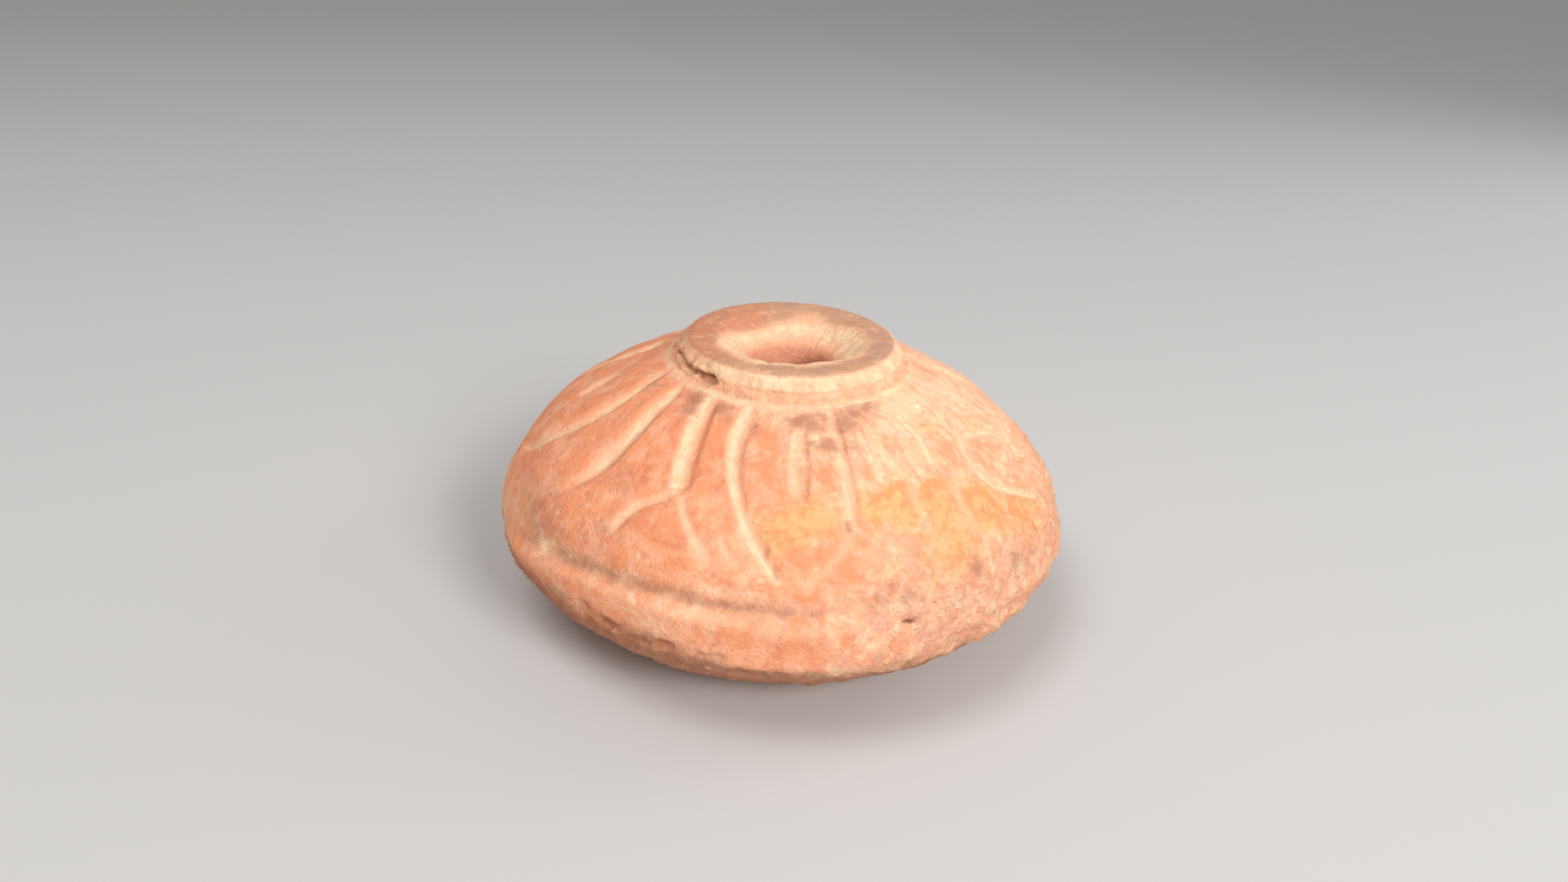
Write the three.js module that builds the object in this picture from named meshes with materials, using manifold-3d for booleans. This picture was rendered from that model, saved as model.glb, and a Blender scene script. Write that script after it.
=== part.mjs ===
// A clay spindle whorl: the small round weight that keeps a hand spindle turning.
// It is one lump of clay, shaped by hand, pierced while wet, carved with a gouge and fired.
// Millimetres, +Z up. The bore stands on the Z axis and the flat base lies on Z = 0.
// Angles are degrees round the bore, anticlockwise from above, starting at +X.
// The carved front, with its pointed petal, faces -Y.

import * as THREE from 'three';
import { mergeVertices } from 'three/addons/utils/BufferGeometryUtils.js';
import Module from 'manifold-3d';

const wasm = await Module();
wasm.setup();

// The body: a flat base, a flank that leans out to the girth, and a domed shoulder up to the collar
const GIRTH_RADIUS = 22;
const GIRTH_HEIGHT = 7;
const BASE_RADIUS = 14.7;
const BASE_ROUNDING = 0.7;
const SHOULDER_RISE = 12.2;
const SHOULDER_CURVE = 0.8;
const FLANK_CURVE = 1.4;

// The collar round the mouth of the bore: a worn, sloping side above a groove
const COLLAR_FOOT_RADIUS = 8.8;
const COLLAR_TOP_RADIUS = 7.6;
const COLLAR_HEIGHT = 1.9;
const COLLAR_WEAR = 0.25;
const RING_GROOVE_WIDTH = 0.8;
const RING_GROOVE_DEPTH = 0.3;

// The bore for the spindle, flared at the top and a little worn at the base
const BORE_RADIUS = 3.1;
const MOUTH_RADIUS = 5.5;
const MOUTH_DEPTH = 1.9;
const MOUTH_HOLLOW = 0.3;
const BORE_FOOT_WEAR = 0.5;

// How far the hand left the round: one shoulder is fuller, and the girth wavers
const FULLER_SIDE = 180;
const FULLER_BY = 0.22;
const WAVER = 0.1;
const WAVES = 2;

// The strokes of the gouge: broad flutes, petal sides, petal veins and thin scratched lines
const FLUTE_WIDTH = 1.7;
const FLUTE_DEPTH = 0.55;
const SIDE_WIDTH = 1.2;
const SIDE_DEPTH = 0.45;
const VEIN_WIDTH = 1.4;
const VEIN_DEPTH = 0.45;
const SCRATCH_WIDTH = 0.8;
const SCRATCH_DEPTH = 0.3;
const RIM_GROOVE_WIDTH = 1.9;
const RIM_GROOVE_DEPTH = 0.45;

// A stroke ends this far off the surface, as a share of its depth, after a dip as steep as the power
const STROKE_LIFT = 0.15;
const STROKE_POWER = 5;

// Damage: a crevice under the lip of the collar, a scoop out of the shoulder and chips on the girth
const CREVICE_WIDTH = 0.6;
const CREVICE_JAG = 0.2;
const CREVICE_STEP = 6;
const SCOOP_WIDTH = 2;
const SCOOP_DEPTH = 0.3;
const CHIP_RADIUS = 1.7;
const CHIP_DEPTH = 0.35;

// How finely the curves are divided: facets round the bore, rings, and the length of a tool's step
const SEGMENTS = 64;
const SHOULDER_RINGS = 11;
const FLANK_RINGS = 5;
const TOOL_STEP = 1.5;
const LEAST_STEPS = 5;
const TOOL_SIDES = 10;

const COLLAR_FOOT = GIRTH_HEIGHT + SHOULDER_RISE;
const TOP = COLLAR_FOOT + COLLAR_HEIGHT;
const clay = new THREE.MeshStandardMaterial({ color: 0xc98860, roughness: 0.92, metalness: 0 });

// Places on the body

function shoulderRadius(share) {
  const reach = GIRTH_RADIUS - COLLAR_FOOT_RADIUS;
  return COLLAR_FOOT_RADIUS + reach * (1 - share ** 2) ** SHOULDER_CURVE;
}

function flankRadius(height) {
  const depth = 1 - height / GIRTH_HEIGHT;
  return GIRTH_RADIUS - (GIRTH_RADIUS - BASE_RADIUS) * depth ** FLANK_CURVE;
}

function radians(degrees) {
  return THREE.MathUtils.degToRad(degrees);
}

// The collar and the bore stay round, and the body round them is uneven
function unevenRadius(degrees, radius) {
  const reach = GIRTH_RADIUS - COLLAR_FOOT_RADIUS;
  const out = THREE.MathUtils.clamp((radius - COLLAR_FOOT_RADIUS) / reach, 0, 1);
  const fuller = FULLER_BY * Math.sin(Math.PI * out) * Math.cos(radians(degrees - FULLER_SIDE));
  const waver = WAVER * out * Math.cos(radians(WAVES * degrees));
  return radius + fuller + waver;
}

function bodyPoint(degrees, radius, height) {
  const uneven = unevenRadius(degrees, radius);
  const turn = radians(degrees);
  return new THREE.Vector3(uneven * Math.cos(turn), uneven * Math.sin(turn), height);
}

// A point on the shoulder: share runs from 0 at the girth to 1 at the collar, and lift stands off it
function shoulderPoint(degrees, share, lift) {
  const step = 0.01;
  const rise = 2 * step * SHOULDER_RISE;
  const run = shoulderRadius(share + step) - shoulderRadius(share - step);
  const slope = Math.atan2(rise, run);
  const radius = shoulderRadius(share) + lift * Math.sin(slope);
  return bodyPoint(degrees, radius, GIRTH_HEIGHT + share * SHOULDER_RISE - lift * Math.cos(slope));
}

// The plain body, spun from its profile

function bodyProfile() {
  const profile = [];
  const add = (radius, height) => profile.push(new THREE.Vector2(radius, height));
  add(BORE_RADIUS, BORE_FOOT_WEAR);
  add(BORE_RADIUS + BORE_FOOT_WEAR, 0);
  add(BASE_RADIUS - BASE_ROUNDING, 0);
  const flankFoot = BASE_ROUNDING / 2;
  for (let ring = 0; ring < FLANK_RINGS; ring++) {
    const height = flankFoot + (GIRTH_HEIGHT - flankFoot) * ring / FLANK_RINGS;
    add(flankRadius(height), height);
  }
  for (let ring = 0; ring < SHOULDER_RINGS; ring++) {
    const share = Math.sin((Math.PI / 2) * ring / SHOULDER_RINGS);
    add(shoulderRadius(share), GIRTH_HEIGHT + share * SHOULDER_RISE);
  }
  add(COLLAR_FOOT_RADIUS + RING_GROOVE_WIDTH / 2, COLLAR_FOOT - RING_GROOVE_DEPTH);
  add(COLLAR_FOOT_RADIUS, COLLAR_FOOT);
  const middleRadius = (COLLAR_FOOT_RADIUS + COLLAR_TOP_RADIUS) / 2;
  add(middleRadius + COLLAR_WEAR, COLLAR_FOOT + COLLAR_HEIGHT / 2);
  add(COLLAR_TOP_RADIUS + COLLAR_WEAR, TOP - COLLAR_WEAR);
  add(COLLAR_TOP_RADIUS - COLLAR_WEAR, TOP);
  add(MOUTH_RADIUS, TOP);
  add((MOUTH_RADIUS + BORE_RADIUS) / 2, TOP - MOUTH_DEPTH / 2 + MOUTH_HOLLOW);
  add(BORE_RADIUS, TOP - MOUTH_DEPTH);
  profile.push(profile[0].clone());
  return profile;
}

function body() {
  const lathe = new THREE.LatheGeometry(bodyProfile(), SEGMENTS);
  lathe.rotateX(Math.PI / 2);
  const { position } = lathe.attributes;
  for (let index = 0; index < position.count; index++) {
    const point = new THREE.Vector3().fromBufferAttribute(position, index);
    const degrees = THREE.MathUtils.radToDeg(Math.atan2(point.y, point.x));
    const moved = bodyPoint(degrees, Math.hypot(point.x, point.y), point.z);
    position.setXYZ(index, moved.x, moved.y, moved.z);
  }
  return solid(lathe);
}

function solid(geometry) {
  geometry.deleteAttribute('normal');
  geometry.deleteAttribute('uv');
  const merged = mergeVertices(geometry, 1e-5);
  const mesh = new wasm.Mesh({
    numProp: 3,
    vertProperties: merged.attributes.position.array,
    triVerts: new Uint32Array(merged.index.array),
  });
  return new wasm.Manifold(mesh);
}

// The gouge

function toolSweep(path, toolRadius) {
  const nose = new THREE.Shape();
  nose.absarc(0, 0, toolRadius, 0, 2 * Math.PI);
  const sweep = new THREE.ExtrudeGeometry(nose, {
    curveSegments: TOOL_SIDES / 2,
    steps: path.length - 1,
    bevelEnabled: false,
    extrudePath: new THREE.CatmullRomCurve3(path),
  });
  return solid(sweep);
}

// A round-nosed tool dips in at one end of the route and comes out at the other
// The route is a few stops on the shoulder, each an angle and a share
function stroke(route, width, depth) {
  const toolRadius = (width ** 2 / 4 + depth ** 2) / (2 * depth);
  const stops = route.map(([degrees, share]) => new THREE.Vector2(degrees, share));
  const guide = new THREE.SplineCurve(stops);
  const along = (part, lift) => {
    const at = guide.getPoint(part);
    return shoulderPoint(at.x, at.y, lift);
  };
  const length = new THREE.CatmullRomCurve3(stops.map((at) => shoulderPoint(at.x, at.y, 0))).getLength();
  const steps = Math.max(LEAST_STEPS, Math.round(length / TOOL_STEP));
  const path = [];
  for (let step = 0; step <= steps; step++) {
    const part = step / steps;
    const dip = 1 - (1 + STROKE_LIFT) * Math.abs(2 * part - 1) ** STROKE_POWER;
    path.push(along(part, toolRadius - depth * dip));
  }
  return toolSweep(path, toolRadius);
}

// The carving

// A petal hangs from the collar: two bowed sides that meet at its tip, and a short vein between them
function petal({ centre, halfWidth, top, tip, leftBow, rightBow, veinFrom, veinTo }) {
  const side = (direction, bow) => {
    const route = [];
    for (const drop of [0, 0.3, 0.6, 0.85, 1]) {
      const spread = halfWidth * (1 - drop ** bow);
      route.push([centre + direction * spread, top - (top - tip) * drop]);
    }
    return stroke(route, SIDE_WIDTH, SIDE_DEPTH);
  };
  const vein = stroke([[centre + 1, veinFrom], [centre + 1, veinTo]], VEIN_WIDTH, VEIN_DEPTH);
  return [side(-1, leftBow), side(1, rightBow), vein];
}

// A leaf is an oval of two thin lines, with a stalk that curls up to the collar and a slanting vein
function leaf({ centre, halfWidth, top, tip, stalk }) {
  const middle = (top + tip) / 2;
  const near = [[centre + stalk, 0.95], [centre - halfWidth * 0.8, top + 0.02],
    [centre - halfWidth, middle + 0.05], [centre - halfWidth * 0.3, tip + 0.08], [centre + 2, tip]];
  const far = [[centre - halfWidth, top - 0.02], [centre, top], [centre + halfWidth * 0.8, middle + 0.08],
    [centre + halfWidth * 0.8, middle - 0.04], [centre + halfWidth * 0.5, tip + 0.03]];
  const vein = [[centre - 2, middle + 0.1], [centre + 2, middle - 0.04]];
  return [near, far, vein].map((route) => stroke(route, SCRATCH_WIDTH, SCRATCH_DEPTH));
}

function frontCarving() {
  const front = petal({ centre: 272, halfWidth: 17.5, top: 0.97, tip: 0.4,
    leftBow: 1.3, rightBow: 3, veinFrom: 0.96, veinTo: 0.72 });
  const left = petal({ centre: 185, halfWidth: 19, top: 0.96, tip: 0.38,
    leftBow: 2.4, rightBow: 3.2, veinFrom: 0.87, veinTo: 0.74 });
  const right = leaf({ centre: 337, halfWidth: 11, top: 0.81, tip: 0.41, stalk: 18 });
  const scratch = stroke([[315.5, 0.95], [314.5, 0.87], [311, 0.77]], SCRATCH_WIDTH, SCRATCH_DEPTH);
  return [...front, ...left, ...right, scratch];
}

// Between the two petals of the front left: a plain flute, and one that forks round a small leaf
function frontFlutes() {
  const plain = [[216.5, 0.95], [222.3, 0.86], [222.3, 0.69], [217.9, 0.5]];
  const trunk = [[237.5, 0.97], [242.5, 0.87], [247, 0.69]];
  const forkLeft = [[247, 0.72], [240.5, 0.64], [236, 0.55], [234.2, 0.43]];
  const forkRight = [[247.6, 0.7], [252, 0.58], [257, 0.47], [259.5, 0.4]];
  return [
    ...[plain, trunk].map((route) => stroke(route, FLUTE_WIDTH, FLUTE_DEPTH)),
    ...[forkLeft, forkRight].map((route) => stroke(route, SIDE_WIDTH, SIDE_DEPTH)),
  ];
}

// The far side, in keeping and plainer: two more petals with a flute beside each
function backCarving() {
  const cuts = [];
  for (const centre of [104, 30]) {
    cuts.push(...petal({ centre, halfWidth: 18, top: 0.96, tip: 0.4,
      leftBow: 2.4, rightBow: 2.4, veinFrom: 0.9, veinTo: 0.72 }));
    const flute = centre + 38;
    const route = [[flute - 3, 0.95], [flute + 1, 0.75], [flute - 2, 0.5]];
    cuts.push(stroke(route, FLUTE_WIDTH, FLUTE_DEPTH));
  }
  return cuts;
}

// The groove that sets off the rolled rim on the front left, and fades where the whorl is worn
function rimGroove() {
  const route = [[206, 0.2], [225, 0.27], [241, 0.31], [263, 0.31], [276, 0.3], [288, 0.35]];
  return stroke(route, RIM_GROOVE_WIDTH, RIM_GROOVE_DEPTH);
}

// Damage

// A jagged crevice along the side of the collar, on the left
function crevice() {
  const path = [];
  for (let degrees = 158; degrees <= 228; degrees += CREVICE_STEP) {
    const jag = CREVICE_JAG * Math.sin(degrees * 1.9);
    path.push(bodyPoint(degrees, COLLAR_FOOT_RADIUS + jag, COLLAR_FOOT + CREVICE_WIDTH / 2));
  }
  return toolSweep(path, CREVICE_WIDTH / 2);
}

function chip(degrees, height) {
  const radius = height < GIRTH_HEIGHT ? flankRadius(height) : GIRTH_RADIUS;
  const centre = bodyPoint(degrees, radius + CHIP_RADIUS - CHIP_DEPTH, height);
  const ball = new THREE.IcosahedronGeometry(CHIP_RADIUS, 1);
  ball.translate(centre.x, centre.y, centre.z);
  return solid(ball);
}

// Chips out of the girth and the flank under it, each at an angle and a height above the girth
function chips() {
  const places = [[267, -1.8], [275, -1.2], [305, -0.4], [318, 0.4], [330, -0.6], [77, -1]];
  return places.map(([degrees, above]) => chip(degrees, GIRTH_HEIGHT + above));
}

// A shallow scoop out of the right shoulder, which shows in the outline
function shoulderScoop() {
  return stroke([[342, 0.56], [351, 0.58], [362, 0.57]], SCOOP_WIDTH, SCOOP_DEPTH);
}

// The finished whorl

function whorlMesh() {
  const cuts = [...frontCarving(), ...frontFlutes(), ...backCarving(), rimGroove(),
    crevice(), ...chips(), shoulderScoop()];
  const whorl = cuts.reduce((left, cut) => left.subtract(cut), body());
  const { vertProperties, triVerts } = whorl.getMesh();
  const geometry = new THREE.BufferGeometry();
  geometry.setAttribute('position', new THREE.BufferAttribute(vertProperties, 3));
  geometry.setIndex(new THREE.BufferAttribute(triVerts, 1));
  geometry.computeVertexNormals();
  const mesh = new THREE.Mesh(geometry, clay);
  mesh.name = 'spindle_whorl';
  return mesh;
}

const part = new THREE.Group();
part.add(whorlMesh());
export default part;
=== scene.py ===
# %% [markdown]
# A carved clay spindle whorl
# A whorl is the small flywheel of a hand spindle. This one is a lump of clay the size of a plum,
# pressed flat below and domed above, pierced for the spindle, carved with a gouge while it was
# leather hard, brushed with red slip and fired. It has lain in the ground since, so it is worn
# pale on one side and keeps cream earth in its carving.
# The lesson spins the plain form from a profile, carves it with vertex groups and Displace
# modifiers, and then builds one clay material out of layers that are painted on the mesh.

# %% The frame
import math

import bpy
import numpy as np
from mathutils import Matrix, Vector


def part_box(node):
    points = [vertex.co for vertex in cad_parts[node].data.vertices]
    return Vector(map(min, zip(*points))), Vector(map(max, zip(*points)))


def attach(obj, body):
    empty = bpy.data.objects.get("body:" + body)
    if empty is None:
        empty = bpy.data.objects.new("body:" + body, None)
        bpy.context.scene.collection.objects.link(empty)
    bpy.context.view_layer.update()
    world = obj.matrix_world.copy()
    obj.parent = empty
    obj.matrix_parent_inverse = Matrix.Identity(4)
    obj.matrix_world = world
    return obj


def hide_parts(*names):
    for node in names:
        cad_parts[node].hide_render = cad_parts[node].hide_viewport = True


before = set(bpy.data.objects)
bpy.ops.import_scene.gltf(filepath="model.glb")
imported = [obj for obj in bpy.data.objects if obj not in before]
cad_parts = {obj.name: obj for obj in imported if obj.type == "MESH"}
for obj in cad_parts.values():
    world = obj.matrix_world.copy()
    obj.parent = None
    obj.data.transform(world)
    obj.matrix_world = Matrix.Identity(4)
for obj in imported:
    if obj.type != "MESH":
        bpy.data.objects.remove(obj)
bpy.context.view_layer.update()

MM = 0.001
NODE = "spindle_whorl"
node_low, node_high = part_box(NODE)
whorl_height = node_high[2] / MM
print("height of the whorl", round(whorl_height, 2), "mm")

# %% [markdown]
# The driving sizes
# The form has five parts from below: a flat base, a flank that leans out, the girth, a domed
# shoulder and a low collar round the mouth of the bore. All sizes are in millimetres. The height
# comes from the frame, so the collar always ends where the solid does.

# %% Driving sizes
GIRTH_RADIUS = 22
GIRTH_HEIGHT = 7
BASE_RADIUS = 14.7
BASE_ROUNDING = 0.7
SHOULDER_RISE = 12.2
SHOULDER_CURVE = 0.8
FLANK_CURVE = 1.4
COLLAR_FOOT_RADIUS = 8.8
DISC_RADIUS = 7.5
MOUTH_RADIUS = 5.8
MOUTH_DEPTH = 2.1
BORE_RADIUS = 3.1
BORE_FOOT_WEAR = 0.5
collar_foot = GIRTH_HEIGHT + SHOULDER_RISE
top = whorl_height


def shoulder_radius(share):
    reach = GIRTH_RADIUS - COLLAR_FOOT_RADIUS
    return COLLAR_FOOT_RADIUS + reach * (1 - share**2) ** SHOULDER_CURVE


def flank_radius(height):
    depth = 1 - height / GIRTH_HEIGHT
    return GIRTH_RADIUS - (GIRTH_RADIUS - BASE_RADIUS) * depth**FLANK_CURVE


print("collar foot at", collar_foot, "mm, top at", round(top, 2), "mm")

# %% [markdown]
# The profile
# A potter would turn such a form, and a spin does the same here. The profile is one closed line
# round the cut face of the clay: up the bore's foot, out along the base, up the flank and the
# shoulder, over a thin ridge and a groove, up the side of the collar, across the top and down the
# flared mouth into the bore. Points lie close together where there is carving and far apart in
# the bore and under the base, where nothing is cut.

# %% Profile
def even_steps(outline, spacing):
    """Lays points along an outline at an even spacing, without the last one."""
    outline = np.array(outline, float)
    along = np.r_[0, np.cumsum(np.hypot(*np.diff(outline, axis=0).T))]
    count = max(2, round(along[-1] / spacing))
    stops = np.linspace(0, along[-1], count, endpoint=False)
    return np.c_[np.interp(stops, along, outline[:, 0]), np.interp(stops, along, outline[:, 1])]


def whorl_profile():
    base = [(BORE_RADIUS, BORE_FOOT_WEAR), (BORE_RADIUS + BORE_FOOT_WEAR, 0),
            (BASE_RADIUS - BASE_ROUNDING, 0)]
    foot = BASE_ROUNDING / 2
    edge = [base[-1], (BASE_RADIUS + 0.1, 0.08), (flank_radius(foot), foot)]
    flank = [(flank_radius(height), height) for height in np.linspace(foot, GIRTH_HEIGHT, 30)]
    shares = np.sin(np.linspace(0, math.asin(0.985), 80))
    shoulder = [(shoulder_radius(share), GIRTH_HEIGHT + share * SHOULDER_RISE) for share in shares]
    ridge = [shoulder[-1], (9.25, collar_foot), (9.05, collar_foot + 0.1), (8.87, collar_foot + 0.05),
             (8.72, collar_foot + 0.12), (8.62, collar_foot + 0.4)]
    collar = [ridge[-1], (8.5, top - 1.1), (8.25, top - 0.65), (7.95, top - 0.28), (7.6, top - 0.06),
              (DISC_RADIUS - 0.3, top)]
    disc = [collar[-1], (MOUTH_RADIUS, top)]
    mouth = [disc[-1], (5.3, top - 0.22), (4.6, top - 0.7), (3.9, top - 1.25), (3.35, top - 1.75),
             (BORE_RADIUS, top - MOUTH_DEPTH - 0.2)]
    bore = [mouth[-1], base[0]]
    pieces = [(base, 1.2), (edge, 0.25), (flank, 0.28), (shoulder, 0.2), (ridge, 0.1), (collar, 0.14),
              (disc, 0.25), (mouth, 0.2), (bore, 1.3)]
    return np.concatenate([even_steps(outline, spacing) for outline, spacing in pieces])


profile = whorl_profile()
print("profile of", len(profile), "points")

# %% [markdown]
# Spinning the form
# A circle primitive gives a closed ring with one vertex for each point of the profile. Its
# vertices are laid on the profile, and the ring is spun once round the bore. A full turn joins
# its end to its start, and merging doubles makes sure that no seam is left open. Then the normals
# are made to point outwards.

# %% Spin
AROUND = 460


def start_alone():
    if bpy.context.object and bpy.context.object.mode != "OBJECT":
        bpy.ops.object.mode_set(mode="OBJECT")
    bpy.ops.object.select_all(action="DESELECT")


start_alone()
bpy.ops.mesh.primitive_circle_add(vertices=len(profile), radius=GIRTH_RADIUS * MM)
whorl = bpy.context.object
whorl.name = whorl.data.name = "carved_clay_whorl"
for vertex, (radius, height) in zip(whorl.data.vertices, profile):
    vertex.co = (radius * MM, 0, height * MM)
bpy.ops.object.mode_set(mode="EDIT")
bpy.ops.mesh.select_all(action="SELECT")
bpy.ops.mesh.spin(steps=AROUND, angle=2 * math.pi, center=(0, 0, 0), axis=(0, 0, 1))
bpy.ops.mesh.select_all(action="SELECT")
bpy.ops.mesh.remove_doubles(threshold=0.002 * MM)
bpy.ops.mesh.normals_make_consistent(inside=False)
bpy.ops.object.mode_set(mode="OBJECT")
print("spun", len(whorl.data.vertices), "vertices,", len(whorl.data.polygons), "faces")

# %% [markdown]
# Places on the clay
# Everything that follows is laid out by where it is on the whorl: an angle round the bore in
# degrees, with the front at 270, and a share of the shoulder, 0 at the girth and 1 at the collar.
# These helpers turn such places into points and read the mesh as arrays, which is quick.

# %% Places
def read_rows(vertices, field):
    """Three numbers for each vertex, as the rows of an array."""
    flat = np.empty(len(vertices) * 3)
    vertices.foreach_get(field, flat)
    return flat.reshape(-1, 3)


def ramp(value, low, high):
    """0 up to the low value and 1 from the high one, with a soft start and end."""
    share = np.clip((value - low) / (high - low), 0, 1)
    return share * share * (3 - 2 * share)


def bell(value, centre, width):
    """1 at the centre, fading softly over the width on each side."""
    return np.exp(-(((value - centre) / width) ** 2))


def round_point(degrees, radius, height):
    turn = np.radians(degrees)
    return np.stack([radius * np.cos(turn), radius * np.sin(turn), height + 0 * turn], -1)


def shoulder_point(degrees, share):
    share = np.clip(share, -0.5, 0.995)
    radius = np.where(share < 0, flank_radius(GIRTH_HEIGHT + np.minimum(share, 0) * SHOULDER_RISE),
                      shoulder_radius(np.maximum(share, 0)))
    return round_point(degrees, radius, GIRTH_HEIGHT + share * SHOULDER_RISE)


plain = read_rows(whorl.data.vertices, "co") / MM
plain_normals = read_rows(whorl.data.vertex_normals, "vector")
angle = np.degrees(np.arctan2(plain[:, 1], plain[:, 0])) % 360
radius = np.hypot(plain[:, 0], plain[:, 1])
height = plain[:, 2]
share = (height - GIRTH_HEIGHT) / SHOULDER_RISE


def facing(degrees, width):
    """1 towards an angle, fading to 0 over the width on each side."""
    turn = np.abs((angle - degrees + 180) % 360 - 180)
    return 1 - ramp(turn, width * 0.5, width)


print("beyond the collar there are", int((radius > COLLAR_FOOT_RADIUS).sum()), "vertices")

# %% [markdown]
# Carving tools
# Displace with a vertex group moves each vertex along its normal by the strength times its
# weight, so a groove is a group whose weights are greatest along a line. The line is a smooth
# curve through a few stops. A gouge held aslant leaves one wall steeper than the other, so the
# weight fades slowly to the left of the line, and to its right the faster the steeper that wall
# is.

# %% Carving tools
def smooth_route(stops, steps=10):
    """A Catmull-Rom curve through stops of angle and share."""
    stops = np.array(stops, float)
    ends = np.concatenate([[2 * stops[0] - stops[1]], stops, [2 * stops[-1] - stops[-2]]])
    route = []
    for before, start, end, after in zip(ends, ends[1:], ends[2:], ends[3:]):
        for t in np.arange(steps) / steps:
            route.append(0.5 * (2 * start + (end - before) * t
                                + (2 * before - 5 * start + 4 * end - after) * t**2
                                + (3 * start - before - 3 * end + after) * t**3))
    return np.array(route + [stops[-1]])


def measure_from(line):
    """For each vertex: its distance to the line, the side it is on, and how far along that is."""
    nearest = np.full(len(plain), 1e9)
    side = np.ones(len(plain))
    along = np.zeros(len(plain))
    lengths = np.linalg.norm(np.diff(line, axis=0), axis=1)
    starts = np.r_[0, np.cumsum(lengths)]
    close = np.linalg.norm(plain - line.mean(0), axis=1) < starts[-1] / 2 + 6
    points, normals = plain[close], plain_normals[close]
    for start, end, length, begun in zip(line, line[1:], lengths, starts):
        step = (end - start) / length
        reach = np.clip((points - start) @ step, 0, length)
        away = points - start - reach[:, None] * step
        distance = np.linalg.norm(away, axis=1)
        nearer = distance < nearest[close]
        chosen = np.flatnonzero(close)[nearer]
        nearest[chosen] = distance[nearer]
        side[chosen] = np.sign(np.sum(away * np.cross(normals, step), axis=1))[nearer]
        along[chosen] = begun + reach[nearer]
    return nearest, side, along, starts[-1]


def paint(piece, name, weights):
    group = piece.vertex_groups.new(name=name)
    for index in np.flatnonzero(weights > 0.001):
        group.add([int(index)], float(weights[index]), "REPLACE")


def choose(piece):
    start_alone()
    piece.select_set(True)
    bpy.context.view_layer.objects.active = piece


def press(piece, name, weights, by, texture=None, middle=0.0):
    """Moves the surface by millimetres along its normals, out if positive and in if negative."""
    choose(piece)
    paint(piece, name, weights)
    modifier = piece.modifiers.new(name, "DISPLACE")
    modifier.vertex_group = name
    modifier.strength = by * MM
    modifier.mid_level = middle
    modifier.texture = texture
    modifier.texture_coords = "LOCAL"
    bpy.ops.object.modifier_apply(modifier=name)
    piece.vertex_groups.remove(piece.vertex_groups[name])


def gouged(across, steep):
    """How deep the cut is at a place across it, from -1 at its left edge to 1 at its right."""
    deepest_at = 0.3
    wall_end = 1.85 - 0.7 * steep
    left = ramp(across, -1.3, deepest_at)
    right = 1 - ramp(across, 0.35, wall_end)
    return np.where(across < deepest_at, left, right)


print("at its right edge a steep cut keeps", round(float(gouged(np.array(1.0), 1.0)), 2), "of its depth")

# %% [markdown]
# The strokes
# Each stroke keeps what the gouge did: its stops, its width in millimetres from start to end, its
# depth, and how far it takes to come up at its end. It also keeps how much cream earth the ground
# left in it, together with a painted highlight, and where across the cut that painted highlight
# lies, from -1 at the left lip to 1 at the right wall. The last value is how steep the right wall
# is, and so how dark the painted shade line along it. The comments name what the strokes draw. The
# petals and flutes at the back can't be seen in the photograph: they are plain and follow the
# spacing of those in front.

# %% Strokes
def stroke(stops, width, depth, rise=1.5, cream_and_highlight=1.0, lit=-0.4, wall=0.8):
    """What the gouge did in one stroke, the cream earth it left, and where its painted highlight and shade
    lie.
    """
    return dict(stops=stops, width=np.atleast_1d(width), depth=depth, rise=rise, cream_and_highlight=cream_and_highlight, lit=lit,
                wall=wall)


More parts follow.
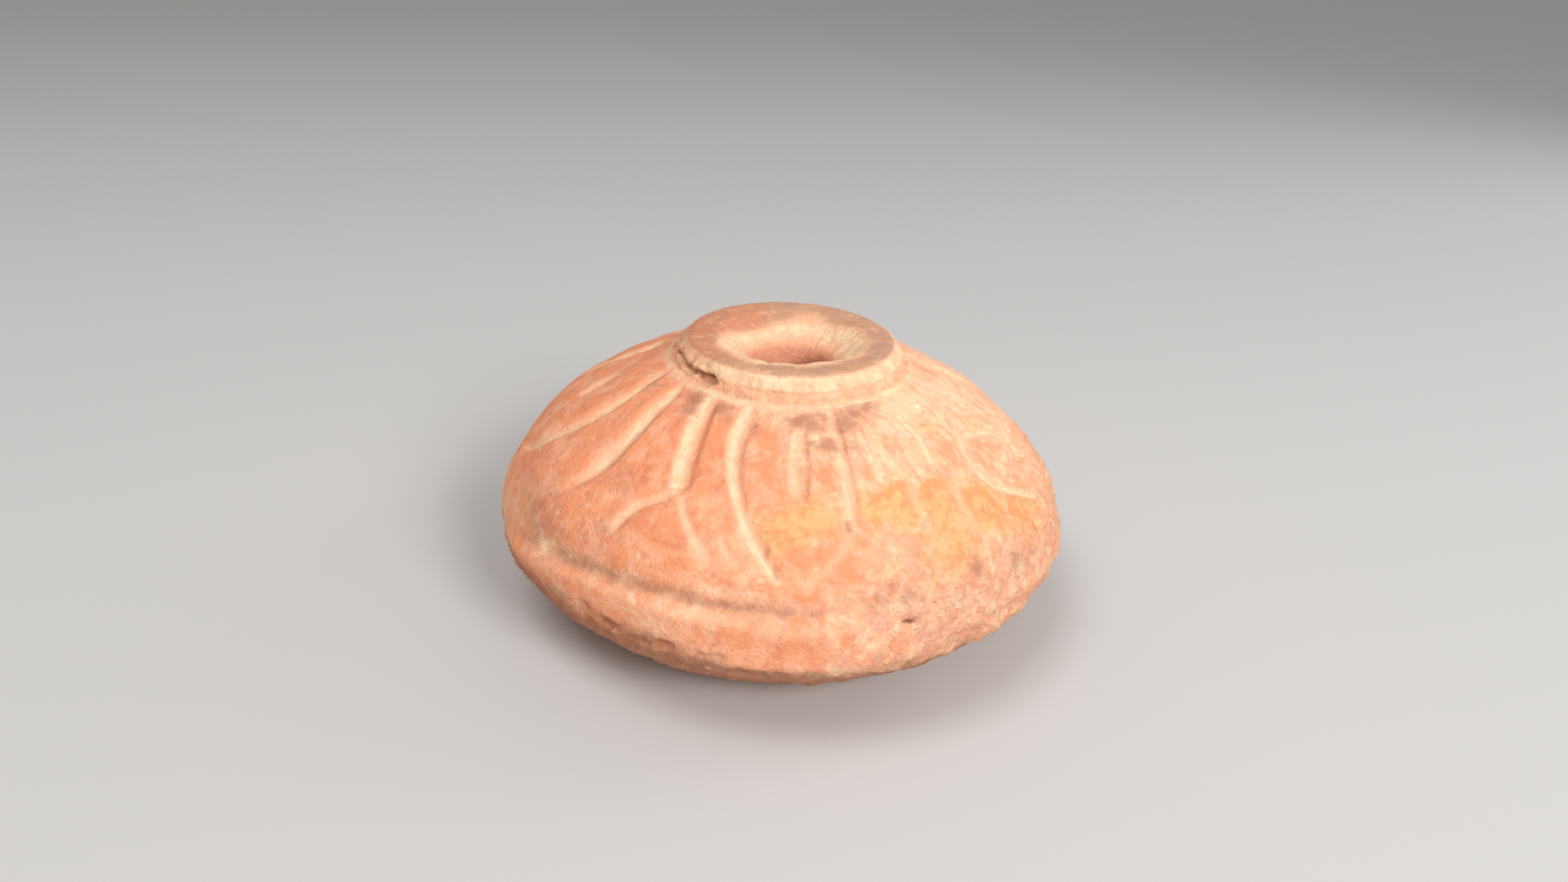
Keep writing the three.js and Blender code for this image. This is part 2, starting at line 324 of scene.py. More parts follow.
STROKES = [
    # the left flute
    stroke([(217.5, 0.985), (220.7, 0.87), (222, 0.77), (220.6, 0.65), (217.5, 0.49)],
           [1.0, 1.7, 1.8, 1.6], 0.52, 4.0, 0.8, 0.0, 0.65),
    # the left petal: near side, far side and vein
    stroke([(200.4, 0.985), (203.8, 0.9), (203.8, 0.79), (200, 0.67), (193.5, 0.5), (188, 0.42)],
           [1.0, 1.4, 1.4, 1.2], 0.45, 1.5, 0.75, 0.1, 0.75),
    stroke([(160, 0.96), (167, 0.92), (167.5, 0.82), (168, 0.68), (173, 0.52), (180, 0.42)],
           1.2, 0.4, 1.5, 0.8),
    stroke([(185.2, 0.88), (186.2, 0.8), (187, 0.73)], 1.0, 0.35, 1.2, 0.7),
    # the forked flute, its left and right prongs and the leaf between them
    stroke([(235.8, 0.995), (240, 0.9), (243.2, 0.8), (245.8, 0.7)],
           [1.2, 1.5, 1.45], 0.5, 0.6, 0.95, -0.5, 0.6),
    stroke([(246.6, 0.705), (242.6, 0.665), (238.1, 0.61), (235.6, 0.53), (234.2, 0.44)],
           [0.7, 0.8, 0.7], 0.28, 1.5, 0.7, -0.3, 0.6),
    stroke([(246.8, 0.69), (250, 0.61), (253.8, 0.53), (257.4, 0.46), (259.6, 0.4)],
           [0.7, 0.9, 1.3], 0.2, 3.0, 0.7, -0.2, 0.15),
    stroke([(239, 0.515), (245.3, 0.485), (252, 0.495), (255, 0.52)], 0.75, 0.14, 1.0, 0.3, -0.6, 0.25),
    # the front petal: left side, right side with its inner line and worn tail, and vein
    stroke([(254.6, 0.995), (254.4, 0.9), (257, 0.8), (261, 0.68), (265.6, 0.55), (270.6, 0.41)],
           [1.2, 1.25, 0.75, 0.65, 0.9, 0.8], 0.34, 1.0, 1.0, -0.35, 0.12),
    stroke([(288.4, 0.995), (287.2, 0.9), (286.6, 0.8), (286, 0.7), (284.9, 0.61)],
           [0.7, 0.8, 0.9, 0.8], 0.27, 1.2, 0.85, -0.6, 0.7),
    stroke([(284.6, 0.83), (284.2, 0.75), (283.8, 0.66)], 0.35, 0.08, 0.6, 0.0, 0.0, 0.6),
    stroke([(284.6, 0.6), (281, 0.51), (276.6, 0.43), (272.6, 0.41)], 1.0, 0.12, 1.5, 0.45, -0.2, 0.0),
    stroke([(274.8, 0.945), (274.2, 0.85), (274.2, 0.715)], [0.9, 1.3, 0.9], 0.36, 0.9, 0.8, -0.8, 0.5),
    # the back petal
    stroke([(122, 0.96), (121, 0.84), (117, 0.66), (106, 0.42)], 1.2, 0.4, 1.5, 0.8),
    stroke([(86, 0.96), (87, 0.84), (91, 0.66), (102, 0.42)], 1.2, 0.4, 1.5, 0.8),
    stroke([(105, 0.9), (105, 0.72)], 1.1, 0.35, 1.0, 0.7),
    stroke([(139, 0.95), (143, 0.75), (140, 0.5)], 1.9, 0.5, 2.0, 0.8),
    # the right petal at the back
    stroke([(48, 0.96), (47, 0.84), (43, 0.66), (32, 0.42)], 1.0, 0.3, 1.5, 0.6, wall=0.4),
    stroke([(12, 0.96), (13, 0.84), (17, 0.66), (28, 0.42)], 1.0, 0.3, 1.5, 0.6, wall=0.3),
    stroke([(31, 0.9), (31, 0.72)], 0.9, 0.25, 1.0, 0.5, wall=0.3),
    stroke([(65, 0.95), (69, 0.75), (66, 0.5)], 1.8, 0.45, 2.0, 0.7),
    # the thin lines on the right: a scratch, the leaf's stalk, both its edges and its vein, two ribs
    stroke([(314.9, 0.955), (315.1, 0.88), (313.6, 0.83), (311.6, 0.76)], 0.75, 0.2, 0.8, 1.0, 0.0, 0.0),
    stroke([(348, 0.98), (342, 0.945), (336.8, 0.91), (334.2, 0.86), (330, 0.82), (325.9, 0.76),
            (324, 0.68)], 0.7, 0.2, 1.0, 0.7, 0.0, 0.0),
    stroke([(324, 0.69), (326.6, 0.61), (332.8, 0.52), (339.6, 0.43)],
           [0.6, 0.75, 0.75], 0.22, 0.5, 1.0, 0.4, 0.15),
    stroke([(331.5, 0.8), (338, 0.775), (343.3, 0.74), (346.5, 0.69), (348.4, 0.62), (350.8, 0.48)],
           0.8, 0.26, 1.0, 1.2, -0.1, 0.2),
    stroke([(334.1, 0.72), (336.9, 0.64), (338.7, 0.58)], 0.55, 0.12, 0.6, 0.4, 0.0, 0.0),
    stroke([(303, 0.77), (302.2, 0.68), (301.3, 0.5)], 1.1, 0.1, 2.0, 0.5, 0.0, 0.0),
    stroke([(313.2, 0.71), (313.8, 0.63), (313.2, 0.45)], 1.1, 0.1, 2.0, 0.5, 0.0, 0.0),
]
DEEPEST = max(cut["depth"] for cut in STROKES)
print(len(STROKES), "strokes, deepest", DEEPEST, "mm")

# %% [markdown]
# Carving
# The strokes are laid one after another, and where two cross the deeper one counts. Each fades in
# where the gouge goes in and comes up at its end. While its place is known, the cream earth in it
# and the place of its right wall are kept for the colours: the earth fills the cut thinly, and a
# painted highlight lies thick along one bright line on the lip that faces the light.

# %% Carving
OUT_OF_REACH = 9.0
SOFT_EDGE = 0.3
THIN_FILLING = 0.32
HIGHLIGHT_LINE = 0.7
carved = np.zeros(len(plain))
cream_and_highlight = np.zeros(len(plain))
wall_at = np.full(len(plain), OUT_OF_REACH)
wall = np.zeros(len(plain))
for cut in STROKES:
    route = smooth_route(cut["stops"])
    distance, side, along, length = measure_from(shoulder_point(route[:, 0], route[:, 1]))
    fade = ramp(along, -0.6, 0.5) * ramp(length - along, -0.3, cut["rise"])
    sinking = fade * ramp(along, -0.8, 2.2)
    steps = np.linspace(0, length, len(cut["width"]))
    half = np.interp(along, steps, cut["width"]) / 2 * (0.6 + 0.4 * fade)
    across = side * distance / half
    carved = np.maximum(carved, gouged(across, cut["wall"]) * sinking * cut["depth"] / DEEPEST)
    soft = SOFT_EDGE / half
    filled = ramp(across, -1.1 - soft, -0.7 + soft)
    filled *= 1 - ramp(across, 0.9 - soft, 1.0 + soft)
    # painted highlight: the cream is brightest along the lip of the cut that faces the light
    lip_highlight = bell(across, cut["lit"], 0.34 + 0.7 * soft)
    earth_and_highlight = THIN_FILLING * filled + HIGHLIGHT_LINE * lip_highlight
    cream_and_highlight = np.maximum(cream_and_highlight, earth_and_highlight * fade * cut["cream_and_highlight"])
    # the place of the nearest right wall, and how dark the painted shade line along it is
    nearer = (np.abs(across) < np.abs(wall_at)) & (np.abs(across) < 2)
    wall_at[nearer] = across[nearer]
    wall[nearer] = (sinking * cut["wall"])[nearer]
press(whorl, "carving", carved, -DEEPEST)
print("carved", round(float((carved > 0.01).mean()) * 100), "per cent of the vertices")

# %% [markdown]
# The rolled rim
# On the front left the maker pressed a groove above the girth, so that the rim stands out as a
# soft roll. The groove fades to the right, where the whorl is worn. Both are long strokes: one
# presses in, steeply on its lower side, and the other, a little lower, swells out. Painted shade
# lies along the bottom of the groove, thickest on the left, and a painted highlight of pale earth
# colour on its lower lip, where the roll faces the light.

# %% Rolled rim
RIM_STOPS = [
    (292, 0.36), (284, 0.345), (276, 0.31), (266, 0.32), (252, 0.33), (238, 0.325), (225, 0.285),
    (212, 0.21), (200, 0.16)
]
RIM_GROOVE_WIDTH = 2.6
RIM_GROOVE_DEPTH = 0.5
RIM_ROLL_HEIGHT = 0.22
RIM_ROLL_DROP = 0.11
RIM_ROLL_REACH = 1.0
route = smooth_route(RIM_STOPS)
distance, side, along, length = measure_from(shoulder_point(route[:, 0], route[:, 1]))
rim_fade = ramp(along, 0, 7) * ramp(length - along, 0, 9)
across = side * distance / (RIM_GROOVE_WIDTH / 2)
press(whorl, "rim groove", gouged(across, 1.0) * rim_fade, -RIM_GROOVE_DEPTH)
# painted shade along the bottom of the rim groove, widest on the left
groove_shade_width = 0.3 + 0.22 * facing(232, 34) + 0.12 * facing(278, 18)
rim_groove_shade = bell(across, 0.24, groove_shade_width) * (rim_fade * (0.56 + 0.44 * facing(232, 56)))
# painted highlight: pale cream on the lower lip of the groove, where the roll faces the light
rim_lip_highlight = bell(across, 1.1, 0.4) * rim_fade
roll_route = route - [0, RIM_ROLL_DROP]
roll_distance = measure_from(shoulder_point(roll_route[:, 0], roll_route[:, 1]))[0]
press(whorl, "rim roll", bell(roll_distance, 0, RIM_ROLL_REACH) * rim_fade, RIM_ROLL_HEIGHT)
print("rim groove runs", round(length, 1), "mm")

# %% [markdown]
# The crevice
# The collar was pressed on as a coil, and on the left it has parted from the dome: a jagged
# crevice runs along its side, in two wide gapes near the front and a hair crack behind. It is a
# line pressed deep into the side of the collar, through stops of angle, radius and height. The
# lip above it is pushed out a little and hangs over it, so painted shade is darkest in a thin line
# along the top, and the rest of the crevice is painted brown as shade in the hollow.

# %% Crevice
CREVICE_DEPTH = 0.42
HAIR_CRACK = 0.07
OPEN_CRACK = 0.05
GAPE = 0.14
LIP_HEIGHT = 0.12
LIP_ABOVE = 0.42
crevice_stops = np.array([
    (150, 9.35, 19.05), (162, 9.2, 19.1), (175, 8.95, 19.35), (186, 8.7, 19.75), (196, 8.5, 20.1),
    (203, 8.5, 20.0), (209, 8.52, 19.92), (214, 8.55, 19.85), (218.5, 8.52, 19.88), (224, 8.58, 19.78),
    (230, 8.58, 19.8), (235.5, 8.58, 19.8),
])
crevice_line = round_point(crevice_stops[:, 0], crevice_stops[:, 1], crevice_stops[:, 2])
distance, side, along, length = measure_from(crevice_line)
front_stretch = ramp(along, 6.0, 7.3)
gapes = np.maximum(np.exp(-(((angle - 209.5) / 6.0) ** 4)), np.exp(-(((angle - 227) / 6.5) ** 4)))
half = HAIR_CRACK + front_stretch * (OPEN_CRACK + GAPE * gapes)
ragged = 0.03 * np.sin(along * 7.3) + 0.02 * np.sin(along * 17.1)
crevice = (1 - ramp(distance, half * 0.7, half * 1.3 + ragged + 0.05)) * ramp(along, 0, 2)
crevice *= ramp(length - along, -0.1, 0.6)
press(whorl, "crevice", crevice * (0.2 + 0.8 * front_stretch), -CREVICE_DEPTH)
above = height - np.interp(angle, crevice_stops[:, 0], crevice_stops[:, 2])
# painted shade: darkest in a thin line under the overhanging lip
crevice_shade = crevice * np.where(front_stretch > 0.5, ramp(above, -0.04, 0.2), 0.5)
lip = bell(above, LIP_ABOVE, 0.16) * (distance < 1) * front_stretch
lip *= ramp(length - along, 0, 2)
press(whorl, "crevice lip", lip, LIP_HEIGHT)
print("crevice runs", round(length, 1), "mm")

# %% [markdown]
# Wear
# Clay wears unevenly. Broad lumps come from the hand, so the body gets a faint cloud texture.
# The right front and a band below the girth are rough, and the lower edge crumbles most at the
# front. The mouth and the side of the collar are knobbly, where fingers pressed the coil on and
# the earth scoured it. Cloud textures read the place in metres, so their size is turned from
# millimetres into metres here. Each wear says how deep it is, how large its clouds are, how fine
# they go, and which grey of the texture leaves the surface in place.

# %% Wear
def cloud(name, size, finer):
    texture = bpy.data.textures.new(name, "CLOUDS")
    texture.noise_scale = size * MM
    texture.noise_depth = finer
    return texture


def spot(degrees, spot_share, size, stretch=1.0):
    """A soft spot on the shoulder: 1 at its centre, fading over its size in millimetres."""
    centre = shoulder_point(np.array(degrees, float), np.array(spot_share, float))
    away = plain - centre
    turn = math.radians(degrees)
    sideways = away @ np.array([-math.sin(turn), math.cos(turn), 0])
    square = np.sum(away**2, axis=1) - sideways**2 + (sideways / stretch) ** 2
    return np.exp(-square / size**2)


body = ramp(radius, BORE_RADIUS + 0.5, MOUTH_RADIUS + 1) * ramp(height, 0.1, 1.5)
worn = facing(334, 66) * ramp(share, 0.75, 0.25) * body
left_rise = 1.9 * facing(222, 52)
low_band = ramp(height - 0.9 * left_rise, 6.9, 5.3) * ramp(height, 0.1, 1.2) * body
rough = np.clip(worn + 0.65 * low_band, 0, 1)
body_outside = body * ramp(radius, DISC_RADIUS, COLLAR_FOOT_RADIUS + 2)
crumbling = low_band * (0.2 + 0.8 * facing(280, 85))
mouth = ramp(height, top - 2.0, top - 1.0) * (1 - 0.8 * ramp(radius, 6.2, 7.4))
mouth *= radius < 8.4
collar_side = bell(height, 20.05, 0.8) * ramp(radius, 7.2, 7.9)
collar_side *= 0.3 + 0.7 * facing(265, 140)
collar_side *= radius < 9.3
WEAR = [
    ("hand lumps", body_outside, 0.4, 5.0, 2, 0.7), ("worn surface", rough, 0.5, 1.0, 2, 0.6),
    ("crumbling edge", crumbling, 0.55, 1.1, 3, 0.6),
    ("grain", body * (0.25 + 0.75 * rough), 0.2, 0.45, 2, 0.5), ("mouth wear", mouth, 0.42, 1.5, 3, 0.55),
    ("uneven collar", collar_side, 0.4, 2.8, 2, 0.5), ("collar knobs", collar_side, 0.75, 1.1, 2, 0.5)
]
for name, weights, depth, size, finer, middle in WEAR:
    press(whorl, name, weights, depth, cloud(name, size, finer), middle)
print("worn vertices", int((rough > 0.5).sum()))

# %% [markdown]
# Pits, chips and scoops
# Single marks are spots pressed in, given by angle, share, size, stretch sideways and depth. A
# pit is sharpest at its centre: two make a slot low on the right front, and the others are faint.
# A dent or a chip has a flat floor: dents lie on the roll of the rim, a scoop is out of the right
# shoulder, and chips are along the girth.

# %% Single marks
PITS = [
    (293.2, 0.206, 0.2, 1.8, 0.5), (294.5, 0.197, 0.2, 1.8, 0.5), (285.2, 0.36, 0.2, 1, 0.12),
    (294, 0.325, 0.3, 1.3, 0.1), (256, 0.07, 0.22, 1.8, 0.14)
]
DENTS = [
    (246, 0.0, 0.5, 2.2, 0.3), (251, 0.03, 0.4, 2.4, 0.24), (240, 0.04, 0.45, 2.0, 0.24),
    (260, 0.02, 0.35, 2.6, 0.2), (234, 0.08, 0.5, 1.6, 0.2)
]
CHIPS = [
    (351, 0.6, 0.7, 4.5, 0.32), (4, 0.45, 1.5, 1, 0.2), (267, -0.13, 1.4, 2.2, 0.3),
    (276, -0.1, 1, 1.6, 0.25), (305, -0.03, 1.3, 2.0, 0.35), (318, 0.0, 1.2, 1.8, 0.35),
    (329, -0.04, 1.3, 1.6, 0.4), (338, 0.02, 1, 1.5, 0.3), (77, -0.08, 1.4, 2.0, 0.35),
    (150, -0.05, 1.2, 1.8, 0.3), (30, -0.06, 1.4, 2.4, 0.35)
]
DEEPEST_MARK = 0.6
DARK_FROM_DEPTH = 0.3
marks = np.zeros(len(plain))
pits = np.zeros(len(plain))
for degrees, spot_share, size, stretch, depth in PITS:
    pit = spot(degrees, spot_share, size, stretch)
    pits = np.maximum(pits, pit * min(1, depth / DARK_FROM_DEPTH))
    marks = np.maximum(marks, pit * depth / DEEPEST_MARK)
for degrees, spot_share, size, stretch, depth in CHIPS + DENTS:
    chip = ramp(spot(degrees, spot_share, size, stretch), 0.25, 0.75)
    marks = np.maximum(marks, chip * depth / DEEPEST_MARK)
press(whorl, "marks", marks, -DEEPEST_MARK)
print("pressed", len(PITS), "pits,", len(DENTS), "dents and", len(CHIPS), "chips")

# %% [markdown]
# Finishing the form
# Formed by hand, the whorl isn't quite round: the left is a little fuller than the right, and the
# outline wavers. The base lies flat on whatever carries it, and nothing may stand out of the space
# that the solid holds, so the points are held inside its box. The faces are then shaded smooth:
# the mesh is fine enough to carry its own edges.

# %% Finishing the form
FULLER_SIDE = 180
FULLER_BY = 0.22
WAVER = 0.1
WAVES = 2
out = np.clip((radius - COLLAR_FOOT_RADIUS) / (GIRTH_RADIUS - COLLAR_FOOT_RADIUS), 0, 1)
fuller = FULLER_BY * np.sin(np.pi * out) * np.cos(np.radians(angle - FULLER_SIDE))
waver = WAVER * out * np.cos(np.radians(WAVES * angle))
points = read_rows(whorl.data.vertices, "co") / MM
points[:, :2] *= (1 + (fuller + waver) / radius)[:, None]
points = np.clip(points, np.array(node_low) / MM, np.array(node_high) / MM)
base = (height < 0.02) & (radius < BASE_RADIUS - BASE_ROUNDING)
points[base, 2] = 0
whorl.data.vertices.foreach_set("co", (points * MM).ravel())
whorl.data.update()
choose(whorl)
bpy.ops.object.shade_smooth()
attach(whorl, "root")
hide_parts(NODE)
print("triangles", sum(len(face.vertices) - 2 for face in whorl.data.polygons))

# %% [markdown]
# Painting the masks
# What the clay shows in colour follows its form: cream earth sits in the carving, round the collar
# and in the mouth, red slip survives between the strokes, soot darkens the top of the collar, and
# ochre patches show where the slip is thin. Each is stored on the mesh as an attribute from 0 to
# 1, built from soft spots and from the lines measured above. The material breaks up their edges
# later. These helpers store an attribute, join spots, and draw a bow round a place.

# %% Mask helpers
def store(piece, name, values):
    attribute = piece.data.attributes.new(name, "FLOAT", "POINT")
    attribute.data.foreach_set("value", values.astype(np.float32))


def spots(places):
    """The strongest of some spots of angle, share, size, stretch and strength, at each vertex."""
    strongest = np.zeros(len(plain))
    for degrees, spot_share, size, stretch, strength in places:
        strongest = np.maximum(strongest, strength * spot(degrees, spot_share, size, stretch))
    return strongest


def arch(degrees, spot_share, size):
    """A bow over a place on the shoulder: the upper half of a ring of this size."""
    away = np.sqrt(-np.log(np.maximum(spot(degrees, spot_share, size, 1.3), 1e-9)))
    return bell(away, 1, 0.4) * ramp(share - spot_share, -0.03, 0.04)


print("one spot of 3 mm covers", int((spot(270, 0.5, 3.0) > 0.5).sum()), "vertices")

# %% [markdown]
# Slip, ochre and pale clay
# The patches of slip, ochre and pale clay lie where the photograph shows them. Those on the far
# side can't be seen and are guesses in keeping. Four bows of deeper ochre cross the patch on the
# right, as a finger or a brush would leave them.

# %% Slip, ochre and pale clay
ARCHES = [(299.8, 0.7, 0.95), (308.3, 0.665, 1.15), (318.2, 0.585, 1), (331, 0.47, 1.2)]
SLIP_SPOTS = [
    (193, 0.67, 4.2, 1.4, 1), (211, 0.62, 3.0, 1, 1), (181, 0.78, 3.6, 1.2, 1), (198, 0.4, 3.4, 1.3, 0.9),
    (231, 0.83, 2.6, 1, 1), (229, 0.68, 3.0, 1, 0.9), (240, 0.73, 1.6, 1, 1), (224, 0.42, 2.6, 1.3, 0.7),
    (250, 0.86, 1.8, 1, 1), (253, 0.73, 2.0, 1, 0.8), (263, 0.91, 1.5, 1, 1), (263, 0.84, 1.6, 1, 0.9),
    (267, 0.76, 2.4, 1, 0.8), (281, 0.8, 1.6, 1, 0.8), (275, 0.45, 2.2, 1.5, 0.9),
    (262, 0.52, 2.0, 1, 0.6), (281, 0.5, 2.2, 1.2, 0.9), (287, 0.56, 1.3, 1, 0.8),
    (268, 0.13, 3.0, 2.0, 0.9), (256, 0.1, 2.6, 1.6, 0.7), (215, 0.06, 3.4, 2.0, 0.9),
    (238, 0.08, 3.0, 1.6, 0.8), (226, 0.1, 3.0, 1.8, 0.8), (240, 0.56, 2.2, 1.4, 0.7),
    (294, 0.8, 1.2, 1, 0.4), (301, 0.86, 1.4, 1, 0.4), (300, 0.93, 1.2, 1.4, 0.4),
    (338, 0.68, 1.8, 1, 0.5), (333, 0.75, 1.2, 1, 0.45), (345, 0.6, 1.6, 1, 0.4), (318, 0.8, 1.6, 1, 0.4),
    (150, 0.7, 4.5, 1.4, 0.9), (120, 0.5, 5.0, 1.4, 0.7), (95, 0.8, 4.0, 1.4, 0.8),
    (75, 0.4, 4.5, 1.4, 0.5), (30, 0.75, 3.5, 1.3, 0.5), (180, 0.1, 4.0, 2.0, 0.8)
]
OCHRE_SPOTS = [
    (299, 0.67, 2.0, 1.3, 1), (308, 0.63, 2.0, 1.1, 1), (319, 0.56, 2.3, 1.2, 1),
    (331, 0.44, 2.4, 1.2, 0.9), (306, 0.5, 2.4, 1.3, 0.8), (271, 0.64, 2.4, 1, 1),
    (277, 0.66, 2.0, 1, 0.9), (270, 0.56, 1.8, 1, 0.9), (291, 0.68, 1.6, 1, 0.9),
    (240, 0.4, 2.0, 1.3, 0.5), (249, 0.38, 2.0, 1.3, 0.5), (213, 0.3, 1.5, 1.2, 0.6),
    (341, 0.8, 1.5, 1, 0.6), (322, 0.88, 1.4, 1, 0.6), (60, 0.6, 3.5, 1.4, 0.6),
    (130, 0.35, 3.5, 1.4, 0.5)
]
PALE_SPOTS = [
    (325, 0.93, 3.2, 1.2, 1), (345, 0.88, 4.0, 1.2, 0.9), (312, 0.9, 2.0, 1, 0.9),
    (350, 0.6, 3.0, 1, 0.7), (335, 0.7, 2.6, 1, 0.3), (298, 0.84, 1.6, 1, 0.7), (306, 0.8, 1.6, 1, 0.6),
    (310, 0.25, 3.0, 1.6, 0.5), (265, 0.27, 2.0, 2.5, 0.5), (246, 0.33, 1.6, 2.0, 0.4),
    (10, 0.85, 5.0, 1.3, 0.8), (318, 0.3, 2.0, 1.6, 0.5)
]
print(len(SLIP_SPOTS), "spots of slip,", len(OCHRE_SPOTS), "of ochre and", len(PALE_SPOTS), "pale")

# %% [markdown]
# Smudges, crusts and specks
# Brown smudges gather under the collar, at the ends of the strokes and low on the worn side; two of
# them, beside the lower end of the front petal's left side, are painted shade along its wall. Thick
# crusts of cream earth cling to the left end of the rolled rim, and a few specks of lime show.

# %% Smudges, crusts and specks
SMUDGES_AND_SHADE = [
    (229.4, 0.98, 1, 1.3, 1), (232, 0.95, 0.9, 1.2, 0.9), (243.4, 0.975, 0.75, 1.4, 1),
    (247, 0.95, 0.7, 1, 0.6), (259.8, 0.94, 0.8, 1, 0.7), (276.9, 0.965, 0.9, 1.6, 1.2),
    (283.5, 0.97, 0.8, 1.2, 0.9), (280.3, 0.95, 0.9, 1.5, 0.9), (283.4, 0.9, 0.85, 1, 1.15),
    (279, 0.9, 0.8, 1.4, 0.7), (291.5, 0.955, 1.2, 1.2, 1), (296.3, 0.98, 1.1, 1.6, 1),
    (303, 0.985, 0.8, 1.8, 0.9), (308.2, 0.99, 0.7, 1.6, 0.8), (291.5, 0.89, 1.1, 1, 0.6),
    # the last two spots on this line are painted shade beside the front petal's left side
    (284.6, 0.632, 0.42, 0.75, 2.0), (267.5, 0.53, 0.75, 0.45, 0.75), (269.5, 0.47, 0.75, 0.45, 0.75),
    (293.4, 0.325, 0.7, 1.3, 0.7), (231, 0.68, 1.8, 0.8, 0.6), (233, 0.47, 2.0, 1.5, 0.5),
    (217, 0.36, 2.8, 1.6, 0.7), (205, 0.42, 2.4, 1.3, 0.5), (206, 0.95, 1.1, 1.4, 0.7),
    (176, 0.96, 1.4, 1.6, 0.6), (271.5, 0.5, 0.9, 1, 0.5), (289.5, 0.35, 1.5, 1.6, 0.6),
    (309.8, 0.36, 0.8, 1, 1.1), (320.7, 0.29, 0.9, 1.3, 0.95), (326, 0.31, 1.2, 1.4, 0.5),
    (303, 0.25, 1.2, 1.4, 0.45), (299, 0.46, 1.8, 1.3, 0.4)
]
CRUSTS = [(220.3, 0.245, 0.8, 1.5, 1.1), (224.6, 0.15, 0.5, 1.4, 0.6), (228, 0.08, 0.6, 1.4, 0.7)]
SPECKS = [
    (340.8, 0.97, 0.25, 1, 0.6), (327.7, 0.94, 0.3, 1, 1.1), (347.7, 0.85, 0.25, 1, 0.9),
    (344.1, 0.84, 0.25, 1.2, 0.6), (327, 0.89, 0.22, 1, 0.6), (296.4, 0.79, 0.25, 1, 0.7),
    (303.8, 0.84, 0.22, 1, 0.6), (310, 0.13, 0.3, 1, 0.7), (286, 0.11, 0.3, 1, 0.7)
]
smudge_and_shade = spots(SMUDGES_AND_SHADE) * ramp(radius, 9.0, 9.4)
crust = spots(CRUSTS)
rim_groove_shade *= 1 - np.minimum(1, crust)
print(len(SMUDGES_AND_SHADE), "smudges,", len(CRUSTS), "crusts and", len(SPECKS), "specks")

# %% [markdown]
# The collar and the mouth
# Soot covers the flat top in a ring. Its inner border wanders, so the radius where it ends is
# given at some angles and read between them. Inside it cream earth lines the mouth, and the
# throat below is bare, with painted shade on its right and deeper down. Earth also covers the side
# of the collar, more thinly at the back left and along a wavering line low on it, which is painted
# shade under the knobs. A thin line of painted shade lies in the crease at its foot.

# %% Collar and mouth
BORDER_ANGLES = [0, 20, 45, 72, 95, 116, 135, 160, 180, 205, 230, 255, 290, 320, 360]
BORDER_RADII = [5.7, 5.5, 5.0, 5.0, 4.7, 4.3, 4.1, 4.6, 5.2, 5.9, 6.3, 6.2, 6.1, 6.1, 5.7]
mouth_border = np.interp(angle, BORDER_ANGLES, BORDER_RADII)
on_top = ramp(height, top - 1.3, top - 0.9)
disc_band = ramp(radius - mouth_border, -0.8, 0.7) * (radius < 8.6) * on_top
collar_edge = ramp(radius, 7.6, 7.95) * on_top
soot = disc_band * (0.95 + 0.05 * np.maximum(facing(300, 110), facing(100, 110)))
throat = (1 - ramp(height, top - 2.5, top - 1.2)) * (radius < 5)
# painted shade in the throat, deeper down and on its right
throat_shade = throat * (0.15 + 0.75 * facing(5, 80)) * (1 - ramp(height, top - 3.8, top - 1.8))
collar_cream_and_shade = ramp(height, collar_foot - 0.3, collar_foot + 0.05) * (radius > 7.2)
# painted shade: the earth is thinner along a wavering line under the collar's knobs
low_shade_line = 19.8 + 0.12 * np.sin(np.radians(angle * 5)) + 0.08 * np.sin(np.radians(angle * 13 + 40))
collar_cream_and_shade *= 1 - 0.26 * bell(height, low_shade_line, 0.3)
collar_cream_and_shade *= 0.86 - 0.42 * facing(165, 75)
collar_cream_and_shade = np.where(height > top - 1.2, collar_cream_and_shade * collar_edge, collar_cream_and_shade)
mouth_cream = (radius < 6.8) * ramp(height, top - 2.7, top - 0.9) * (1 - disc_band)
# painted shade in the crease at the collar's foot
ring_shade_line = bell(radius, 8.7, 0.13) * (height > collar_foot) * (height < collar_foot + 0.7)
print("soot covers", round(float((soot > 0.5).mean()) * 100, 1), "per cent of the vertices")

# %% [markdown]
# The red field, the underside and the earth
# Slip covers the whole left shoulder and the left of the collar's top, besides its patches. Below
# the girth painted shade makes the clay darker and browner, up to a border that climbs on the left.
# The cream earth is gathered from the carving, the collar, the mouth and the crusts, together with
# the painted highlights of the strokes and of the lip of the rolled rim, whichever is strongest,
# and the painted shade of the ring at the collar's foot cuts through it.

# %% Red field, underside and earth
# how strong the painted highlight on the rim's lip is
LIP_HIGHLIGHT = 0.25
left_field = facing(203, 78) * ramp(share, 0.2, 0.42) * 0.9
slip = np.maximum(spots(SLIP_SPOTS), left_field) * ramp(radius, 9.2, 9.8)
slip = np.maximum(slip, disc_band * facing(170, 80) * 0.9)
# painted shade: the clay under the rim is darker and browner, higher on the left where the roll turns
# under
underside_shade_rise = left_rise + 0.6 * facing(240, 34)
under = (1 - ramp(height - underside_shade_rise, 4.3, 6.7)) * (radius > BASE_RADIUS - BASE_ROUNDING)
cream_and_highlight = np.maximum.reduce([cream_and_highlight, collar_cream_and_shade, mouth_cream, crust, rim_lip_highlight * LIP_HIGHLIGHT])
cream_and_highlight *= 1 - 0.5 * ring_shade_line
print("slip covers", round(float((slip > 0.5).mean()) * 100, 1), "per cent of the vertices")

